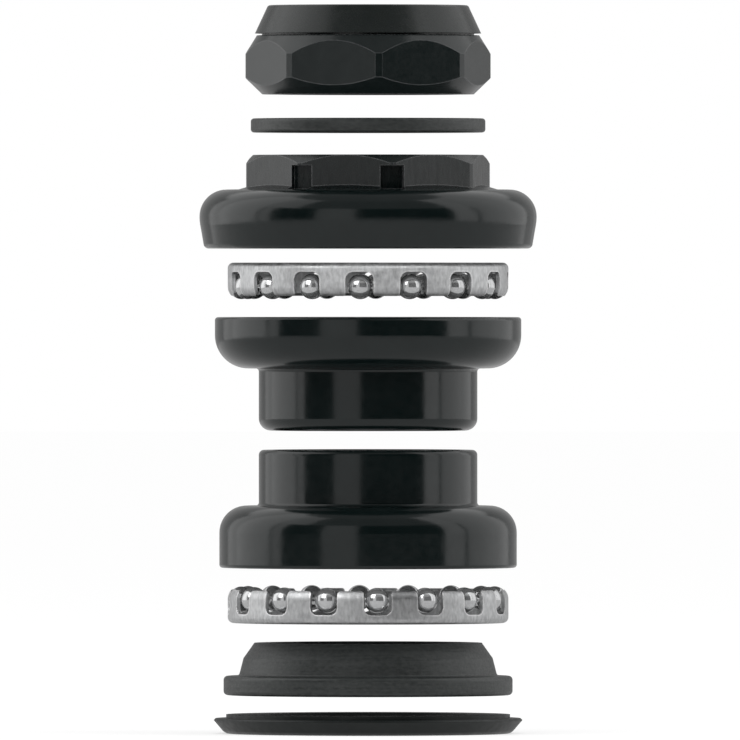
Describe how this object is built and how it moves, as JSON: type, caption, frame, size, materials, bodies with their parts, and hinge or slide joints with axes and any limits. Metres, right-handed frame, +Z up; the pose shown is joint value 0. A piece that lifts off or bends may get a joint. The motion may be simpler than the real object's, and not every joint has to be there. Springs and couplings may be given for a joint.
{
  "type": "threaded headset",
  "caption": "Threaded bicycle headset drawn apart on its axis: crown seal and race, caged ball bearings, pressed cups, bell-shaped top race, keyed washer, octagonal locknut and cap seal.",
  "frame": {"origin": "under the middle of the crown seal, on the axis of the steerer", "axes": "+Z up the steerer; -Y faces the picture's camera and +X is to its right"},
  "size_m": [0.0526, 0.0526, 0.1136],
  "materials": {
    "gloss_black": "gloss",
    "satin_black": "satin",
    "black_race": "matte",
    "seal_rubber": "smooth",
    "cap_rubber": "satin",
    "cage_steel": "satin",
    "ball_steel": "polished"
  },
  "bodies": {
    "crown_race": {"crown_race": "black_race", "crown_seal": "seal_rubber"},
    "lower_bearing": {"lower_cage": "cage_steel", "lower_ball_01": "ball_steel", "lower_ball_02": "ball_steel", "lower_ball_03": "ball_steel", "lower_ball_04": "ball_steel", "lower_ball_05": "ball_steel", "lower_ball_06": "ball_steel", "lower_ball_07": "ball_steel", "lower_ball_08": "ball_steel", "lower_ball_09": "ball_steel", "lower_ball_10": "ball_steel", "lower_ball_11": "ball_steel", "lower_ball_12": "ball_steel", "lower_ball_13": "ball_steel", "lower_ball_14": "ball_steel", "lower_ball_15": "ball_steel", "lower_ball_16": "ball_steel"},
    "lower_cup": {"lower_cup": "gloss_black"},
    "upper_cup": {"upper_cup": "gloss_black"},
    "upper_bearing": {"upper_cage": "cage_steel", "upper_ball_01": "ball_steel", "upper_ball_02": "ball_steel", "upper_ball_03": "ball_steel", "upper_ball_04": "ball_steel", "upper_ball_05": "ball_steel", "upper_ball_06": "ball_steel", "upper_ball_07": "ball_steel", "upper_ball_08": "ball_steel", "upper_ball_09": "ball_steel", "upper_ball_10": "ball_steel", "upper_ball_11": "ball_steel", "upper_ball_12": "ball_steel", "upper_ball_13": "ball_steel", "upper_ball_14": "ball_steel", "upper_ball_15": "ball_steel", "upper_ball_16": "ball_steel"},
    "top_race": {"top_race": "gloss_black", "lock_washer": "black_race"},
    "locknut": {"locknut": "satin_black", "cap_seal": "cap_rubber"}
  },
  "joints": [
    {"name": "head_turn", "type": "hinge", "parent": "crown_race", "child": "lower_cup", "pos_m": [0, 0, 0.03075], "axis": [0, 0, 1], "continuous": true},
    {"name": "lower_cage_turn", "type": "hinge", "parent": "crown_race", "child": "lower_bearing", "pos_m": [0, 0, 0.02097], "axis": [0, 0, 1], "continuous": true},
    {"name": "cup_spread", "type": "slide", "parent": "lower_cup", "child": "upper_cup", "axis": [0, 0, 1], "range_m": [0, 0.12]},
    {"name": "upper_cage_turn", "type": "hinge", "parent": "upper_cup", "child": "upper_bearing", "pos_m": [0, 0, 0.06973], "axis": [0, 0, 1], "continuous": true},
    {"name": "top_race_turn", "type": "hinge", "parent": "upper_cup", "child": "top_race", "pos_m": [0, 0, 0.08285], "axis": [0, 0, 1], "continuous": true},
    {"name": "locknut_turn", "type": "hinge", "parent": "top_race", "child": "locknut", "pos_m": [0, 0, 0.1043], "axis": [0, 0, 1], "continuous": true}
  ],
  "couplings": [
    {"joint": "lower_cage_turn", "follows": "head_turn", "ratio": 0.53543},
    {"joint": "upper_cage_turn", "follows": "head_turn", "ratio": -0.46457},
    {"joint": "top_race_turn", "follows": "head_turn", "ratio": -1}
  ]
}
